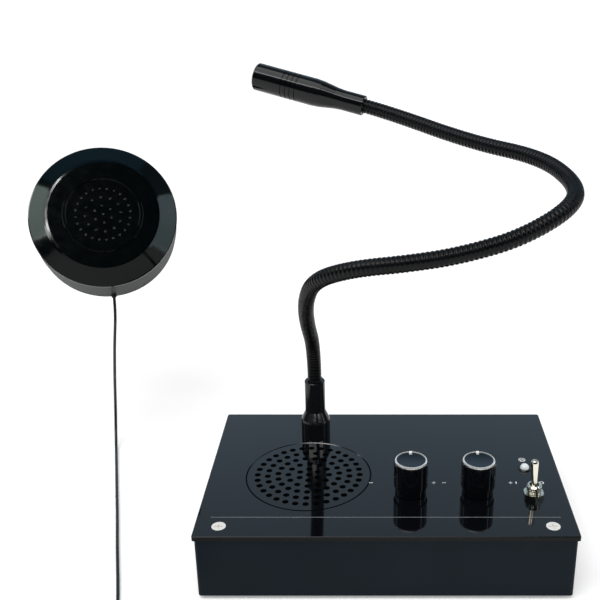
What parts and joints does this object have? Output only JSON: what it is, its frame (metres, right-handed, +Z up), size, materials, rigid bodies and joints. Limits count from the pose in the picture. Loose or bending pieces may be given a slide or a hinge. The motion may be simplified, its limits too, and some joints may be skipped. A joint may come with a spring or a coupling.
{
  "type": "teller window intercom",
  "caption": "Counter intercom: black desk amplifier with gooseneck microphone, two volume knobs, toggle switch and grille, and a round outdoor speaker on its cable.",
  "frame": {"origin": "middle of the desk unit's footprint, on the surface that its feet stand on", "axes": "+X to the teller's right, +Y away from the teller, towards the window, +Z up"},
  "size_m": [0.2539, 0.2289, 0.192],
  "materials": {
    "case_steel": "fine satin black powder coat on folded steel",
    "panel_gloss": "polished black acrylic",
    "plated_screw": "bright zinc plate",
    "plated_nut": "nickel plate",
    "rubber": "matt black",
    "grille_cloth": "thin black acoustic cloth",
    "speaker_steel": "pressed steel, black",
    "speaker_paper": "black pressed paper with a rolled edge",
    "magnet_ferrite": "dull sintered ferrite with steel plates",
    "board": "green glass-epoxy board",
    "chip_plastic": "moulded black plastic",
    "heatsink_aluminium": "black anodised extrusion",
    "capacitor_can": "dark blue sleeve",
    "pot_steel": "zinc plated steel",
    "knob_plastic": "polished black ABS",
    "knob_cap": "dark spun cap with a bright bevel",
    "switch_chrome": "nickel plated brass",
    "lamp_lens": "water clear epoxy",
    "lamp_bezel": "black clip",
    "neck_black": "gloss black lacquer on turned brass",
    "gooseneck_steel": "black oxide wound steel",
    "mic_black": "gloss black lacquer on turned aluminium",
    "capsule": "can with felt front",
    "mic_mesh": "perforated black disc",
    "outdoor_plastic": "polished black ABS",
    "adhesive_foam": "black foam tape",
    "cable_pvc": "smooth black PVC",
    "tie_black": "black nylon tie",
    "plug_plastic": "moulded black PVC",
    "plug_metal": "nickel plate"
  },
  "bodies": {
    "desk_unit": {"lower_case": "case_steel", "top_panel": "panel_gloss", "cover_screws": "plated_screw", "rear_screws": "plated_screw", "rubber_feet": "rubber", "grille_cloth": "grille_cloth", "speaker_basket": "speaker_steel", "speaker_cone": "speaker_paper", "speaker_magnet": "magnet_ferrite", "speaker_screws": "plated_screw", "main_board": "board", "board_screws": "plated_screw", "amplifier_chip": "chip_plastic", "heatsink": "heatsink_aluminium", "capacitors": "capacitor_can", "dc_jack": "chip_plastic", "line_jack": "chip_plastic", "pot_nuts": "plated_nut", "inner_pot": "pot_steel", "outer_pot": "pot_steel", "switch_body": "chip_plastic", "switch_bushing": "switch_chrome", "switch_nut": "switch_chrome", "led_lamp": "lamp_lens", "led_bezel": "lamp_bezel", "gooseneck_post": "neck_black", "gooseneck_nut": "plated_nut", "gooseneck_root": "gooseneck_steel", "outdoor_front_shell": "outdoor_plastic", "outdoor_back_shell": "outdoor_plastic", "outdoor_screws": "plated_screw", "outdoor_speaker_basket": "speaker_steel", "outdoor_speaker_cone": "speaker_paper", "outdoor_speaker_magnet": "magnet_ferrite", "outdoor_mic_capsule": "capsule", "outdoor_adhesive_pad": "adhesive_foam", "outdoor_grommet": "rubber", "cable": "cable_pvc", "cable_coil": "cable_pvc", "cable_tail": "cable_pvc", "cable_tie": "tie_black", "plug_grip": "plug_plastic", "plug_pin": "plug_metal"},
    "inner_volume": {"inner_pot_shaft": "pot_steel", "inner_knob": "knob_plastic", "inner_knob_cap": "knob_cap"},
    "outer_volume": {"outer_pot_shaft": "pot_steel", "outer_knob": "knob_plastic", "outer_knob_cap": "knob_cap"},
    "toggle": {"switch_lever": "switch_chrome"},
    "neck_1": {"gooseneck_link_1": "gooseneck_steel"},
    "neck_2": {"gooseneck_link_2": "gooseneck_steel"},
    "neck_3": {"gooseneck_link_3": "gooseneck_steel"},
    "neck_4": {"gooseneck_link_4": "gooseneck_steel"},
    "neck_5": {"gooseneck_link_5": "gooseneck_steel", "mic_sleeve": "mic_black", "mic_barrel": "mic_black", "mic_capsule": "capsule", "mic_grille": "mic_mesh"}
  },
  "joints": [
    {"name": "inner_volume_turn", "type": "hinge", "parent": "desk_unit", "child": "inner_volume", "pos_m": [0.0106, -0.0181, 0.03], "axis": [0, 0, 1], "range_deg": [-150, 150]},
    {"name": "outer_volume_turn", "type": "hinge", "parent": "desk_unit", "child": "outer_volume", "pos_m": [0.0385, -0.0181, 0.03], "axis": [0, 0, 1], "range_deg": [-150, 150]},
    {"name": "switch_flip", "type": "hinge", "parent": "desk_unit", "child": "toggle", "pos_m": [0.0614, -0.021, 0.0335], "axis": [1, 0, 0], "range_deg": [0, 24]},
    {"name": "gooseneck_bend_1", "type": "hinge", "parent": "desk_unit", "child": "neck_1", "pos_m": [-0.0321, 0.01865, 0.0853], "axis": [-0.9983, 0.0579, 0], "range_deg": [-20, 20]},
    {"name": "gooseneck_bend_2", "type": "hinge", "parent": "neck_1", "child": "neck_2", "pos_m": [-0.0199, -0.035, 0.1323], "axis": [-0.337, 0.2442, 0.9093], "range_deg": [-20, 20]},
    {"name": "gooseneck_bend_3", "type": "hinge", "parent": "neck_2", "child": "neck_3", "pos_m": [0.0359, -0.0445, 0.1461], "axis": [0.0485, -0.9988, 0], "range_deg": [-20, 20]},
    {"name": "gooseneck_bend_4", "type": "hinge", "parent": "neck_3", "child": "neck_4", "pos_m": [0.06625, 0.00335, 0.1616], "axis": [0.0472, -0.1405, 0.989], "range_deg": [-20, 20]},
    {"name": "gooseneck_bend_5", "type": "hinge", "parent": "neck_4", "child": "neck_5", "pos_m": [0.01935, 0.0532, 0.16875], "axis": [0.643, 0.7658, 0], "range_deg": [-20, 20]}
  ]
}
